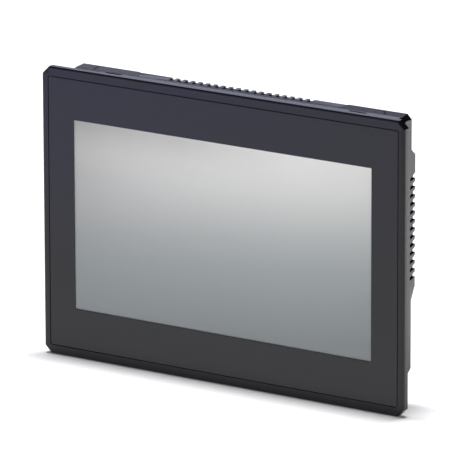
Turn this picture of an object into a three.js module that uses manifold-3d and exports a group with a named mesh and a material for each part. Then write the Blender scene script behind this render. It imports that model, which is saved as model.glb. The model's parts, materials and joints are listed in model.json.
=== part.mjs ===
// Panel-mount operator panel with a widescreen touch display, in millimetres.
// X runs to the right as seen from the front, Y runs back into the cabinet and Z is up.
// The origin is the centre of the seat plane, where the flange gasket meets the cabinet wall.

import * as THREE from 'three';
import { mergeVertices } from 'three/addons/utils/BufferGeometryUtils.js';
import Module from 'manifold-3d';

const wasm = await Module();
wasm.setup();

// Driving dimensions. Depths are measured back from the front face, halves from the centre.
const gap = 0.3; // clearance between neighbouring pieces
const slim = 0.1; // clearance between stacked sheets
const over = 1; // how far a cutting tool runs past the face that it cuts

const flangeHalf = { x: 135.5, z: 95.5 };
const flangeCorner = 5;
const bezelDepth = 2.7;
const bezelEdge = 1.3;
const flangeDepth = 5;
const gasketStand = 0.6;
const frontY = -(flangeDepth + gasketStand);

const grooveHalf = { x: 130.95, z: 89.5 };
const grooveWidth = 0.5;
const grooveDepth = 0.9;
const grooveCorner = 1.6;
const overlayThickness = 0.5;
const displayHalf = { x: 111.36, z: 62.64 };
const displayCorner = 0.6;

const touchHalf = { x: 121.2, z: 75.2 };
const touchDepth = [0.65, 2.25];
const carrierWindowHalf = { x: 118.4, z: 72.6 };

const lcdHalf = { x: 117.5, z: 71.5 };
const lcdDepth = [3.1, 8];
const lcdSheet = 0.5;
const lcdEar = { x: 90, z: 75.5, radius: 3.4, hole: 1.5 };
const lcdGlass = { half: { x: 116.5, z: 69.6 }, depth: [3.8, 5] };
const diffuser = { half: { x: 115.6, z: 69 }, depth: [5.1, 5.5] };
const lightGuide = { x: [-115.6, 115.6], depth: [5.7, 7.1], z: [-66.9, 69] };
const lcdTray = { half: { x: 116.6, z: 70.6 }, depth: [7.3, 7.8] };
const lampStrip = { halfX: 112, depth: [5.8, 6.9], z: [-69.6, -68.4] };
const lamp = { count: 14, pitch: 15.5, halfX: 1.8, depth: [6, 6.7], z: [-68.6, -67.2] };
const gasketBand = { inner: 0.9, outer: 3.2 }; // how far the display gasket lies outside the picture
const adhesiveMargin = 0.2;
const flexThickness = 0.25;

const housingHalf = { x: 124.3, z: 92.3 };
const housingCorner = 3.2;
const wall = 2.2;
const seamDepth = 19;
const seamGap = 0.2;
const coverTop = 93.1; // the cover's top face rises to this height at the rear
const topRecess = { drop: 0.35, front: 74, rear: 78.5 };
const topNick = { width: 1, sink: 1.6, depth: [20, 26], left: [-108.8, -108.6], right: [109.3, 104.5] };
const clampSlot = { x: 91.3, width: 12.4, depth: [14.6, 17.4] };

const shelfDepth = 21.5; // rear face below the connector step
const baseDepth = 26.8; // rear face of the main level
const plateauDepth = 31.3; // rear face of the raised level
const coverWall = 2;
const stepZ = -75.6; // underside of the main level, where the connectors look down
const stepTopZ = -71.4;
const plateauZ = { bottomFoot: -27, bottom: -18.5, top: 66.6, topFoot: 70.4 };
const plateauCentreHalf = { foot: 86, top: 82 };

const bayHalf = 82; // half width of the connector bay
const bayDepth = 11.6; // its floor
const bayWall = 2;

const topVent = { count: 19, pitch: 5.72, width: 3, reach: 5.2, notch: 1 };
// The highest side vent's lower and upper edge at its front and rear end.
const sideVent = {
  count: 13,
  pitch: 5.33,
  depth: [25.3, 31.3],
  low: [49.9, 51.4],
  high: [52, 54.8],
  corner: 1.6,
};

const boardDepth = [13.4, 15];
const boardHalfX = 98;
const boardZ = [-73.1, 66];
const boardHole = { x: 92, top: 60, bottom: -66 };
const chipDepth = boardDepth[1] + slim;

const coverBoss = { radius: 4.2, pilot: 1.7, passage: 1.9, headHole: 3.4, headSink: 2.6 };
const boardBoss = { radius: 3.4, hole: 1.5, reach: 7 };
const screwHeadSink = 0.5; // how far the upper cover screws lie under the rear face

const coverHoles = [
  [-115.5, 84.5],
  [-62, 84.5],
  [62, 84.5],
  [115.5, 84.5],
  [-115.5, -84.5],
  [115.5, -84.5],
];

const powerX = -66;
const ethernetX = -41;
const usbX = -20;
const serialX = 11;
const dipX = 42;
const groundX = 66;
const connectorDepth = boardDepth[1] + 0.1;
const mouthZ = -76.2; // where the connectors end, just below the step

const resetX = 91;
const resetZ = -50;

// Materials
function material(color, roughness, metalness) {
  return new THREE.MeshStandardMaterial({ color, roughness, metalness });
}

const finishes = {
  bezel: material(0x33363b, 0.55, 0),
  overlay: material(0x34363c, 0.45, 0),
  housing: material(0x2b2d31, 0.6, 0),
  touchGlass: material(0xb4b8bb, 0.15, 0),
  adhesive: material(0x141414, 0.9, 0),
  foam: material(0x1b1b1c, 0.95, 0),
  sheetSteel: material(0xb9bcbf, 0.35, 1),
  displayGlass: material(0x1a1c1f, 0.1, 0),
  whiteFilm: material(0xf2f3f4, 0.5, 0),
  clearAcrylic: material(0xdfe7ea, 0.1, 0),
  flex: material(0xb4691c, 0.4, 0),
  screwSteel: material(0xc2c4c6, 0.3, 1),
  board: material(0x14572f, 0.5, 0),
  chip: material(0x17181a, 0.5, 0),
  aluminium: material(0xa9adb1, 0.4, 1),
  ferrite: material(0x3a3b3d, 0.7, 0),
  canSteel: material(0xcfd1d3, 0.25, 1),
  nickel: material(0xc9cacb, 0.25, 1),
  blackPlastic: material(0x141516, 0.5, 0),
  greenPlastic: material(0x2e7d4f, 0.45, 0),
  bluePlastic: material(0x1f4f9a, 0.5, 0),
  whitePlastic: material(0xe6e6e2, 0.5, 0),
  redPlastic: material(0xa8281f, 0.5, 0),
  label: material(0xc9cbcc, 0.5, 0),
};

// Solid helpers
const at = (depth) => frontY + depth;

function solid(geometry) {
  const bare = geometry.clone();
  bare.deleteAttribute('normal');
  bare.deleteAttribute('uv');
  const merged = mergeVertices(bare, 1e-4);
  const vertProperties = new Float32Array(merged.attributes.position.array);
  const triVerts = new Uint32Array(merged.index.array);
  return new wasm.Manifold(new wasm.Mesh({ numProp: 3, vertProperties, triVerts }));
}

function shell(manifold) {
  const mesh = manifold.getMesh();
  const geometry = new THREE.BufferGeometry();
  geometry.setAttribute('position', new THREE.BufferAttribute(mesh.vertProperties, 3));
  geometry.setIndex(new THREE.BufferAttribute(mesh.triVerts, 1));
  geometry.computeVertexNormals();
  return geometry;
}

function join(...geometries) {
  return shell(geometries.map(solid).reduce((sum, piece) => sum.add(piece)));
}

function cut(geometry, ...tools) {
  return shell(tools.map(solid).reduce((rest, tool) => rest.subtract(tool), solid(geometry)));
}

function common(first, second) {
  return shell(solid(first).intersect(solid(second)));
}

// A box from its spans in X, in depth and in Z.
function block(x, depth, z) {
  const geometry = new THREE.BoxGeometry(x[1] - x[0], depth[1] - depth[0], z[1] - z[0]);
  return geometry.translate((x[0] + x[1]) / 2, at((depth[0] + depth[1]) / 2), (z[0] + z[1]) / 2);
}

// The same, centred on X = 0 and Z = 0.
function centred(half, depth) {
  return block([-half.x, half.x], depth, [-half.z, half.z]);
}

// A round bar along Y.
function bar(radius, depth, x, z, sides = 20) {
  const geometry = new THREE.CylinderGeometry(radius, radius, depth[1] - depth[0], sides);
  return geometry.translate(x, at((depth[0] + depth[1]) / 2), z);
}

// A round bar along Z.
function stake(radius, z, x, depth, sides = 20) {
  const geometry = new THREE.CylinderGeometry(radius, radius, z[1] - z[0], sides);
  return geometry.rotateX(Math.PI / 2).translate(x, at(depth), (z[0] + z[1]) / 2);
}

function polygon(points) {
  return new THREE.Shape(points.map(([x, y]) => new THREE.Vector2(x, y)));
}

function cutCornerOutline(half, corner) {
  const { x, z } = half;
  const inX = x - corner;
  const inZ = z - corner;
  return polygon([[-inX, -z], [inX, -z], [x, -inZ], [x, inZ], [inX, z], [-inX, z], [-x, inZ], [-x, -inZ]]);
}

function roundOutline(half, radius) {
  const shape = new THREE.Shape();
  const x = half.x - radius;
  const z = half.z - radius;
  shape.absarc(x, z, radius, 0, Math.PI / 2);
  shape.absarc(-x, z, radius, Math.PI / 2, Math.PI);
  shape.absarc(-x, -z, radius, Math.PI, 1.5 * Math.PI);
  shape.absarc(x, -z, radius, 1.5 * Math.PI, 2 * Math.PI);
  return shape;
}

// A plate whose outline lies in X and Z, between two depths.
function plate(shape, depth) {
  const options = { depth: depth[1] - depth[0], bevelEnabled: false, curveSegments: 4 };
  return new THREE.ExtrudeGeometry(shape, options).rotateX(Math.PI / 2).translate(0, at(depth[1]), 0);
}

// A bar along X whose section is drawn in Z and depth.
function barAlongX(section, x) {
  const shape = polygon(section.map(([z, depth]) => [at(depth), z]));
  const options = { depth: x[1] - x[0], bevelEnabled: false };
  const geometry = new THREE.ExtrudeGeometry(shape, options);
  geometry.rotateY(Math.PI / 2).rotateX(Math.PI / 2);
  return geometry.translate(x[0], 0, 0);
}

// A bar along Z whose section is drawn in X and depth.
function barAlongZ(section, z) {
  const shape = polygon(section.map(([x, depth]) => [x, at(depth)]));
  const options = { depth: z[1] - z[0], bevelEnabled: false };
  return new THREE.ExtrudeGeometry(shape, options).translate(0, 0, z[0]);
}

function evenly(count, pitch) {
  return Array.from({ length: count }, (_, index) => (index - (count - 1) / 2) * pitch);
}

// A flat strip with a constant thickness along a line of points, as section points.
function ribbon(points, thickness) {
  const half = thickness / 2;
  const side = (sign) => points.map((point, index) => {
    const before = points[Math.max(index - 1, 0)];
    const after = points[Math.min(index + 1, points.length - 1)];
    const along = new THREE.Vector2(after[0] - before[0], after[1] - before[1]).normalize();
    return [point[0] - sign * along.y * half, point[1] + sign * along.x * half];
  });
  return [...side(-1), ...side(1).reverse()];
}

// A smooth line of points through a few guide points.
function smoothLine(guides, steps) {
  const curve = new THREE.CatmullRomCurve3(guides.map(([a, b]) => new THREE.Vector3(a, b, 0)));
  return curve.getPoints(steps).map((point) => [point.x, point.y]);
}

const model = new THREE.Group();

function add(name, geometry, finish) {
  const mesh = new THREE.Mesh(geometry, finish.clone());
  mesh.name = name;
  model.add(mesh);
}

// Front
function frontBezel() {
  const straight = bezelDepth + over;
  const options = {
    depth: straight,
    bevelEnabled: true,
    bevelThickness: bezelEdge,
    bevelSize: bezelEdge,
    bevelOffset: -bezelEdge,
    bevelSegments: 3,
  };
  const outline = cutCornerOutline(flangeHalf, flangeCorner);
  const body = new THREE.ExtrudeGeometry(outline, options).rotateX(-Math.PI / 2);
  body.translate(0, at(bezelEdge), 0);
  const wide = { x: flangeHalf.x + over, z: flangeHalf.z + over };
  const slab = common(body, centred(wide, [-over, bezelDepth]));
  const pocket = plate(roundOutline(grooveHalf, grooveCorner), [-over, overlayThickness + slim]);
  const channelInner = { x: grooveHalf.x - grooveWidth, z: grooveHalf.z - grooveWidth };
  const channel = cut(
    plate(roundOutline(grooveHalf, grooveCorner), [-over, grooveDepth]),
    plate(roundOutline(channelInner, grooveCorner), [-2 * over, grooveDepth + over]),
  );
  const windowHalf = { x: touchHalf.x + gap, z: touchHalf.z + gap };
  return cut(slab, pocket, channel, centred(windowHalf, [-over, bezelDepth + over]));
}

function frontOverlay() {
  const half = { x: grooveHalf.x - grooveWidth, z: grooveHalf.z - grooveWidth };
  const film = plate(roundOutline(half, grooveCorner - grooveWidth / 2), [0, overlayThickness]);
  return cut(film, plate(roundOutline(displayHalf, displayCorner), [-over, overlayThickness + over]));
}

const tailZ = [14, 28];

function touchAdhesive() {
  const depth = [touchDepth[1] + slim, bezelDepth];
  const margin = adhesiveMargin;
  const outer = centred({ x: touchHalf.x - margin, z: touchHalf.z - margin }, depth);
  const inner = centred({ x: carrierWindowHalf.x + margin, z: carrierWindowHalf.z + margin }, [0, 9]);
  const tailNotch = block([115, 125], [0, 9], [tailZ[0] - 1, tailZ[1] + 1]);
  return cut(outer, inner, tailNotch);
}

function touchTail() {
  const down = [[119.7, 2.5], [119.7, 6], [119.5, 10.5]];
  const inward = [[117, 12.3], [112, 12.6], [100, 12.6], [92, 12.6]];
  return barAlongZ(ribbon(smoothLine([...down, ...inward], 16), flexThickness), tailZ);
}

function displayGasket() {
  const depth = [touchDepth[1] + slim, lcdDepth[0] - slim];
  const { inner, outer } = gasketBand;
  const sheet = centred({ x: displayHalf.x + outer, z: displayHalf.z + outer }, depth);
  return cut(sheet, centred({ x: displayHalf.x + inner, z: displayHalf.z + inner }, [0, 9]));
}

add('front_bezel', frontBezel(), finishes.bezel);
add('front_overlay', frontOverlay(), finishes.overlay);
add('touch_glass', centred(touchHalf, touchDepth), finishes.touchGlass);
add('touch_adhesive', touchAdhesive(), finishes.adhesive);
add('touch_tail', touchTail(), finishes.flex);
add('display_gasket', displayGasket(), finishes.foam);

// Display module
function lcdFrame() {
  const [front, rear] = lcdDepth;
  const inside = { x: lcdHalf.x - lcdSheet, z: lcdHalf.z - lcdSheet };
  const can = cut(
    centred(lcdHalf, [front, rear]),
    centred(inside, [front + lcdSheet, rear + over]),
    centred({ x: displayHalf.x + 0.6, z: displayHalf.z + 0.6 }, [front - over, rear]),
  );
  const ears = [];
  const holes = [];
  for (const x of [-lcdEar.x, lcdEar.x]) {
    for (const side of [-1, 1]) {
      const z = side * lcdEar.z;
      const foot = side * (lcdHalf.z - lcdSheet / 2);
      const span = [Math.min(z, foot), Math.max(z, foot)];
      ears.push(block([x - lcdEar.radius, x + lcdEar.radius], [rear - lcdSheet, rear], span));
      ears.push(bar(lcdEar.radius, [rear - lcdSheet, rear], x, z));
      holes.push(bar(lcdEar.hole, [0, 12], x, z, 12));
    }
  }
  return cut(join(can, ...ears), ...holes);
}

function ledStrip() {
  const strip = block([-lampStrip.halfX, lampStrip.halfX], lampStrip.depth, lampStrip.z);
  const { count, pitch, halfX, depth, z } = lamp;
  return join(strip, ...evenly(count, pitch).map((x) => block([x - halfX, x + halfX], depth, z)));
}

function lcdFlex() {
  const guides = [[-58, 8.3], [-50, 8.3], [-44, 8.8], [-38, 11.8], [-32, 12.5], [-24, 12.5]];
  return barAlongX(ribbon(smoothLine(guides, 14), flexThickness), [-48, -16]);
}

add('lcd_frame', lcdFrame(), finishes.sheetSteel);
add('lcd_glass', centred(lcdGlass.half, lcdGlass.depth), finishes.displayGlass);
add('diffuser_sheet', centred(diffuser.half, diffuser.depth), finishes.whiteFilm);
add('light_guide', block(lightGuide.x, lightGuide.depth, lightGuide.z), finishes.clearAcrylic);
add('led_strip', ledStrip(), finishes.whitePlastic);
add('lcd_tray', centred(lcdTray.half, lcdTray.depth), finishes.sheetSteel);
add('lcd_flex', lcdFlex(), finishes.flex);

// Screws stand along Y with the head's top at Y = 0 facing back, and a cross recess in it.
function screw(head, shank) {
  const profile = [
    [0, -head.height - shank.length],
    [shank.radius * 0.7, -head.height - shank.length],
    [shank.radius, -head.height - shank.length + shank.radius * 0.5],
    [shank.radius, -head.height],
    [head.radius, -head.height],
    [head.radius, -head.height * 0.35],
    [head.radius * 0.72, 0],
    [0, 0],
  ].map(([x, y]) => new THREE.Vector2(x, y));
  const body = new THREE.LatheGeometry(profile, 16);
  const blade = head.radius * 0.24;
  const reach = head.radius * 1.15;
  const sink = head.height;
  const across = new THREE.BoxGeometry(reach, sink, blade);
  const along = new THREE.BoxGeometry(blade, sink, reach);
  return cut(body, across, along);
}

const lcdHead = { radius: 2.6, height: 1.5 };
const lcdScrew = screw(lcdHead, { radius: 1.2, length: 2.4 });
let lcdScrewNumber = 0;
for (const x of [-lcdEar.x, lcdEar.x]) {
  for (const z of [lcdEar.z, -lcdEar.z]) {
    lcdScrewNumber += 1;
    const depth = lcdDepth[1] + slim + lcdHead.height;
    add(`lcd_screw_${lcdScrewNumber}`, lcdScrew.clone().translate(x, at(depth), z), finishes.screwSteel);
  }
}

// Housing
function clampSlots() {
  const { x, width, depth } = clampSlot;
  const slots = [];
  for (const side of [-1, 1]) {
    const span = [side * x - width / 2, side * x + width / 2];
    slots.push(block(span, depth, [housingHalf.z - wall - over, housingHalf.z + over]));
    slots.push(block(span, depth, [-housingHalf.z - over, -housingHalf.z + wall + over]));
  }
  return slots;
}

function carrierFrame() {
  const flange = plate(cutCornerOutline(flangeHalf, flangeCorner), [flangeDepth - 2.2, flangeDepth]);
  const rear = seamDepth - seamGap / 2;
  const innerHalf = { x: housingHalf.x - wall, z: housingHalf.z - wall };
  const ring = cut(
    plate(cutCornerOutline(housingHalf, housingCorner), [flangeDepth - over, rear]),
    plate(cutCornerOutline(innerHalf, housingCorner - 1), [flangeDepth - 2 * over, rear + over]),
  );
  const bosses = [];
  const holes = [];
  for (const [x, z] of coverHoles) {
    bosses.push(bar(coverBoss.radius, [flangeDepth - over, rear], x, z));
    holes.push(bar(coverBoss.pilot, [flangeDepth + 1.5, rear + over], x, z, 12));
  }
  for (const x of [-lcdEar.x, lcdEar.x]) {
    for (const z of [-lcdEar.z, lcdEar.z]) {
      bosses.push(bar(lcdEar.radius, [flangeDepth - over, lcdDepth[1] - lcdSheet - gap], x, z));
      holes.push(bar(lcdEar.hole, [flangeDepth + 0.5, lcdDepth[1] + over], x, z, 12));
    }
  }
  const bayNotch = block(
    [-bayHalf - bayWall - gap, bayHalf + bayWall + gap],
    [bayDepth - bayWall - gap, rear + over],
    [-housingHalf.z - over, -housingHalf.z + wall + over],
  );
  const window = centred(carrierWindowHalf, [-over, flangeDepth + over]);
  const tailNotch = block([118, 121.4], [-over, flangeDepth + over], [tailZ[0] - 1, tailZ[1] + 1]);
  const solidFrame = join(flange, ring, ...bosses);
  return cut(solidFrame, window, tailNotch, ...holes, bayNotch, ...clampSlots());
}

function flangeGasket() {
  const depth = [flangeDepth + 0.02, flangeDepth + gasketStand];
  const outer = plate(cutCornerOutline({ x: flangeHalf.x - 1.2, z: flangeHalf.z - 0.5 }, 5), depth);
  const innerHalf = { x: housingHalf.x + gap, z: housingHalf.z + gap };
  return cut(outer, plate(cutCornerOutline(innerHalf, housingCorner), [depth[0] - over, depth[1] + over]));
}

add('carrier_frame', carrierFrame(), finishes.housing);
add('flange_gasket', flangeGasket(), finishes.foam);

// Height of the cover's top face, which rises to the rear.
function topAt(depth) {
  const share = (depth - seamDepth) / (baseDepth - seamDepth);
  return housingHalf.z + share * (coverTop - housingHalf.z);
}

// A shallow recess in the top face, wider at the rear.
function recessTool() {
  const { drop, front, rear } = topRecess;
  const near = seamDepth - over;
  const far = baseDepth + over;
  const above = coverTop + over;
  const section = [[topAt(near) - drop, near], [topAt(far) - drop, far], [above, far], [above, near]];
  const ends = [[-front, near], [front, near], [rear, far], [-rear, far]];
  const trough = barAlongX(section, [-rear - over, rear + over]);
  return common(trough, barAlongZ(ends, [housingHalf.z - over, above]));
}

// Each top vent opens into the housing and nicks the rear edge.
function topVents() {
  const { count, pitch, width, reach, notch } = topVent;
  const front = baseDepth - reach;
  const above = coverTop + over;
  return evenly(count, pitch).flatMap((x) => {
    const span = [x - width / 2, x + width / 2];
    return [
      block(span, [front, baseDepth - coverWall], [housingHalf.z - wall - over, above]),
      block(span, [front, baseDepth + over], [coverTop - topRecess.drop - notch, above]),
    ];
  });
}

// Each side vent rises to the rear, opens into the housing and nicks the rear edge.
function sideVents() {
  const { count, pitch, depth, low, high, corner } = sideVent;
  const length = depth[1] - depth[0];
  const edge = (ends, far) => ends[0] + ((far - depth[0]) / length) * (ends[1] - ends[0]);
  const opening = (down, far, inset, side) => {
    const section = [
      [low[0] - down, depth[0]],
      [high[0] - down, depth[0]],
      [edge(high, far) - down, far],
      [edge(low, far) - down, far],
    ];
    const ends = [side * (housingHalf.x + over), side * (housingHalf.x - inset)];
    return barAlongX(section, ends.sort((a, b) => a - b));
  };
  const slots = [];
  for (let index = 0; index < count; index += 1) {
    for (const side of [-1, 1]) {
      slots.push(opening(index * pitch, plateauDepth - coverWall + slim, wall + slim, side));
      slots.push(opening(index * pitch, plateauDepth + over, corner, side));
    }
  }
  return slots;
}

// Slanted nicks across the top face, where the cover's snap hooks are released.
function topNicks() {
  const { width, sink, depth, left, right } = topNick;
  const half = width / 2;
  return [left, right].map(([front, rear]) => {
    const section = [
      [front - half, depth[0]],
      [front + half, depth[0]],
      [rear + half, depth[1]],
      [rear - half, depth[1]],
    ];
    return barAlongZ(section, [housingHalf.z - sink, coverTop + over]);
  });
}

// Openings in the connector wall: centre, half width, depth span.
const wallHoles = [
  [powerX, 8.7, [connectorDepth - gap, connectorDepth + 9.3]],
  [ethernetX, 8.3, [connectorDepth - gap, 29]],
  [usbX, 6.9, [connectorDepth - gap, connectorDepth + 6.3]],
  [serialX, 8.6, [15.9, 25.7]],
  [dipX, 6.3, [connectorDepth - gap, connectorDepth + 7]],
];

function coverOutside() {
  const seam = seamDepth + seamGap / 2;
  const halfX = housingHalf.x;
  const shelf = plate(cutCornerOutline(housingHalf, housingCorner), [seam, shelfDepth]);
  const mainSection = [
    [stepZ, seam],
    [stepZ, shelfDepth],
    [stepTopZ, baseDepth],
    [coverTop, baseDepth],
    [housingHalf.z, seam],
  ];
  const outline = plate(cutCornerOutline({ x: halfX, z: coverTop }, housingCorner), [seam, plateauDepth]);
  const main = common(barAlongX(mainSection, [-halfX, halfX]), outline);
  const bandSection = [
    [plateauZ.bottomFoot, baseDepth - over],
    [plateauZ.bottomFoot, baseDepth],
    [plateauZ.bottom, plateauDepth],
    [plateauZ.top, plateauDepth],
    [plateauZ.topFoot, baseDepth],
    [plateauZ.topFoot, baseDepth - over],
  ];
  const band = barAlongX(bandSection, [-halfX, halfX]);
  const { foot, top } = plateauCentreHalf;
  const centreSection = [[-foot, baseDepth - over], [foot, baseDepth - over], [foot, baseDepth],
    [top, plateauDepth], [-top, plateauDepth], [-foot, baseDepth]];
  const centre = barAlongZ(centreSection, [stepTopZ, plateauZ.bottom + over]);
  const lip = block([-top, top], [seam, plateauDepth], [stepZ, stepTopZ + over]);
  const bay = block(
    [-bayHalf - bayWall, bayHalf + bayWall],
    [bayDepth - bayWall, shelfDepth - over],
    [-housingHalf.z, stepZ + bayWall],
  );
  return join(shelf, main, band, centre, lip, bay);
}

function coverInside() {
  const inX = housingHalf.x - wall;
  const floor = stepZ + bayWall;
  const main = block([-inX, inX], [seamDepth - over, baseDepth - coverWall], [floor, housingHalf.z - wall]);
  const bandSection = [
    [plateauZ.bottomFoot + 2, baseDepth - coverWall - over],
    [plateauZ.bottomFoot + 2, baseDepth - coverWall],
    [plateauZ.bottom + 1, plateauDepth - coverWall],
    [plateauZ.top - 1, plateauDepth - coverWall],
    [plateauZ.topFoot - 2, baseDepth - coverWall],
    [plateauZ.topFoot - 2, baseDepth - coverWall - over],
  ];
  const band = barAlongX(bandSection, [-inX, inX]);
  const { top } = plateauCentreHalf;
  const depth = [bayDepth - bayWall - over, plateauDepth - coverWall];
  const centre = block([-top + coverWall, top - coverWall], depth, [floor, plateauZ.bottom + over]);
  return join(main, band, centre);
}

function rearCover() {
  const bayVoid = block([-bayHalf, bayHalf], [bayDepth, 40], [-housingHalf.z - over, stepZ]);
  const hollow = cut(coverOutside(), coverInside(), bayVoid);
  const posts = [];
  const holes = [];
  for (const [x, z] of coverHoles) {
    const isTop = z > 0;
    const face = isTop ? baseDepth : shelfDepth;
    if (isTop) {
      posts.push(bar(coverBoss.radius, [seamDepth + seamGap / 2, face - over], x, z));
      holes.push(bar(coverBoss.headHole, [face - coverBoss.headSink, face + over], x, z));
    }
    holes.push(bar(coverBoss.passage, [seamDepth - over, face + over], x, z, 12));
  }
  for (const x of [-boardHole.x, boardHole.x]) {
    for (const z of [boardHole.top, boardHole.bottom]) {
      const inside = z > 0 ? plateauDepth - over : baseDepth - over;
      posts.push(bar(boardBoss.radius, [boardDepth[1] + gap, inside], x, z));
      holes.push(bar(boardBoss.hole, [boardDepth[1] - over, boardDepth[1] + boardBoss.reach], x, z, 12));
    }
  }
  const wallCuts = wallHoles.map(([x, half, depth]) => block(
    [x - half, x + half],
    depth,
    [stepZ - over, stepZ + bayWall + over],
  ));
  const groundHole = stake(2.3, [stepZ - over, stepZ + bayWall + over], groundX, 20.5, 12);
  const serialHoles = [-12.5, 12.5].map((x) => stake(1.8, [-80, -72], serialX + x, 20.8, 12));
  const resetHole = bar(2.4, [20, 30], resetX, resetZ);
  const withPosts = join(hollow, ...posts);
  return cut(withPosts, ...holes, ...wallCuts, groundHole, ...serialHoles, resetHole, recessTool(),
    ...topVents(), ...sideVents(), ...topNicks());
}

add('rear_cover', rearCover(), finishes.housing);

const coverHead = { radius: 2.9, height: 2 };
const coverScrew = screw(coverHead, { radius: 1.4, length: 12 });
const shelfScrew = screw(coverHead, { radius: 1.4, length: 9 });
coverHoles.forEach(([x, z], index) => {
  const isTop = z > 0;
  const top = isTop ? baseDepth - screwHeadSink : shelfDepth + slim + coverHead.height;
  const body = (isTop ? coverScrew : shelfScrew).clone();
  add(`cover_screw_${index + 1}`, body.translate(x, at(top), z), finishes.screwSteel);
});

// Electronics
function mainBoard() {
  const slab = block([-boardHalfX, boardHalfX], boardDepth, boardZ);
  const holes = [];
  for (const x of [-boardHole.x, boardHole.x]) {
    for (const z of [boardHole.top, boardHole.bottom]) {
      holes.push(bar(1.7, [10, 18], x, z, 12));
    }
  }
  return cut(slab, ...holes);
}

add('main_board', mainBoard(), finishes.board);

const boardHead = { radius: 2.7, height: 1.5 };
const boardScrew = screw(boardHead, { radius: 1.2, length: 6.5 }).rotateX(Math.PI);
let boardScrewNumber = 0;
for (const x of [-boardHole.x, boardHole.x]) {
  for (const z of [boardHole.top, boardHole.bottom]) {
    boardScrewNumber += 1;
    const body = boardScrew.clone().translate(x, at(boardDepth[0] - slim - boardHead.height), z);
    add(`board_screw_${boardScrewNumber}`, body, finishes.screwSteel);
  }
}

// A chip body lying on the back of the board.
function chip(x, z, width, height, thickness) {
  const spanX = [x - width / 2, x + width / 2];
  const spanZ = [z - height / 2, z + height / 2];
  return block(spanX, [chipDepth, chipDepth + thickness], spanZ);
}

const processorAt = { x: 14, z: 18 };
const processorHeight = 2.2;
const sink = { half: 24, foot: 2.5, height: 10.5, fins: 9, pitch: 5.6, finHalf: 0.8 };

function heatSink() {
  const { half, foot, height, fins, pitch, finHalf } = sink;
  const base = chipDepth + processorHeight + slim;
  const { x, z } = processorAt;
  const spanZ = [z - half, z + half];
  const slab = block([x - half, x + half], [base, base + foot], spanZ);
  const rows = evenly(fins, pitch).map((offset) => block(
    [x + offset - finHalf, x + offset + finHalf],
    [base + foot / 2, base + height],
    spanZ,
  ));
  return join(slab, ...rows);
}

// A capacitor can with its rolled neck, standing on the board.
function capacitor(x, z) {
  const profile = [[0, 0], [4, 0], [4, 1.4], [3.7, 1.8], [4, 2.2], [4, 9.2], [3.6, 9.6], [0, 9.6]];
  const can = new THREE.LatheGeometry(profile.map(([r, y]) => new THREE.Vector2(r, y)), 20);
  return can.translate(x, at(chipDepth), z);
}

const battery = { x: -60, z: 40, radius: 10, height: 3.2, rim: 11.5, floor: 0.9 };

function batteryHolder() {
  const { x, z, radius, height, rim, floor } = battery;
  const top = floor + height + gap;
  const base = bar(rim, [chipDepth, chipDepth + top], x, z, 28);
  const well = bar(radius + 0.2, [chipDepth + floor, chipDepth + top + over], x, z, 28);
  const mouth = block([x - 7, x + 7], [chipDepth + floor, chipDepth + top + over], [z + 5, z + 20]);
  return cut(base, well, mouth);
}

function coinCell() {
  const { x, z, radius, height, floor } = battery;
  return bar(radius, [chipDepth + floor + slim, chipDepth + floor + slim + height], x, z, 28);
}

add('processor', chip(processorAt.x, processorAt.z, 23, 23, processorHeight), finishes.chip);
add('heat_sink', heatSink(), finishes.aluminium);
add('memory_chip', chip(52, 20, 10, 13, 1.1), finishes.chip);
add('power_inductor', chip(-72, -36, 12, 12, 6), finishes.ferrite);
add('capacitor_1', capacitor(-56, -40), finishes.canSteel);
add('capacitor_2', capacitor(-45, -40), finishes.canSteel);
add('battery_holder', batteryHolder(), finishes.blackPlastic);
add('coin_cell', coinCell(), finishes.canSteel);

// Connectors. They stand on the back of the board and look down through the connector wall.
function connectorBody(x, halfWidth, height, length) {
  return block(
    [x - halfWidth, x + halfWidth],
    [connectorDepth, connectorDepth + height],
    [mouthZ, mouthZ + length],
  );
}

const ethernet = { half: 8, height: 13.4, length: 21, mouthHalf: 5.9, mouthDepth: [2.2, 10.4], reach: 13 };

function ethernetJack() {
  const { half, height, length, mouthHalf, mouthDepth, reach } = ethernet;
  const spanZ = [mouthZ - over, mouthZ + reach];
  const low = connectorDepth + mouthDepth[0];
  const high = connectorDepth + mouthDepth[1];
  return cut(
    connectorBody(ethernetX, half, height, length),
    block([ethernetX - mouthHalf, ethernetX + mouthHalf], [low, high], spanZ),
    block([ethernetX - 3, ethernetX + 3], [high - over, high + 1.4], spanZ),
  );
}

const usb = { half: 6.6, height: 5.8, length: 14, sheet: 0.4 };

function usbShell() {
  const { half, height, length, sheet } = usb;
  const hollow = block(
    [usbX - half + sheet, usbX + half - sheet],
    [connectorDepth + sheet, connectorDepth + height - sheet],
    [mouthZ - over, mouthZ + length - sheet],
  );
  return cut(connectorBody(usbX, half, height, length), hollow);
}

function usbTongue() {
  const { half, height, length, sheet } = usb;
  const spanX = [usbX - half + sheet + 0.2, usbX + half - sheet - 0.2];
  const depth = [connectorDepth + sheet + 0.2, connectorDepth + height - sheet - 0.2];
  const root = block(spanX, depth, [mouthZ + length - sheet - 3, mouthZ + length - sheet - 0.2]);
  const tongue = block(
    [spanX[0] + 0.4, spanX[1] - 0.4],
    [depth[0] + 0.4, depth[0] + 2.2],
    [mouthZ + 1.2, mouthZ + length - sheet - 2],
  );
  return join(root, tongue);
}

// A nine-way D-shaped socket. Its half widths are given at its low and high depth.
const serialDepth = 20.8;
const serial = { wide: 8.4, narrow: 7.1, half: 4.4 };

function dOutline(inset) {
  const half = serial.half - inset;
  return [
    [serialX - serial.narrow + inset, serialDepth - half],
    [serialX + serial.narrow - inset, serialDepth - half],
    [serialX + serial.wide - inset, serialDepth + half],
    [serialX - serial.wide + inset, serialDepth + half],
  ];
}

const postX = 12.5;

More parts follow.
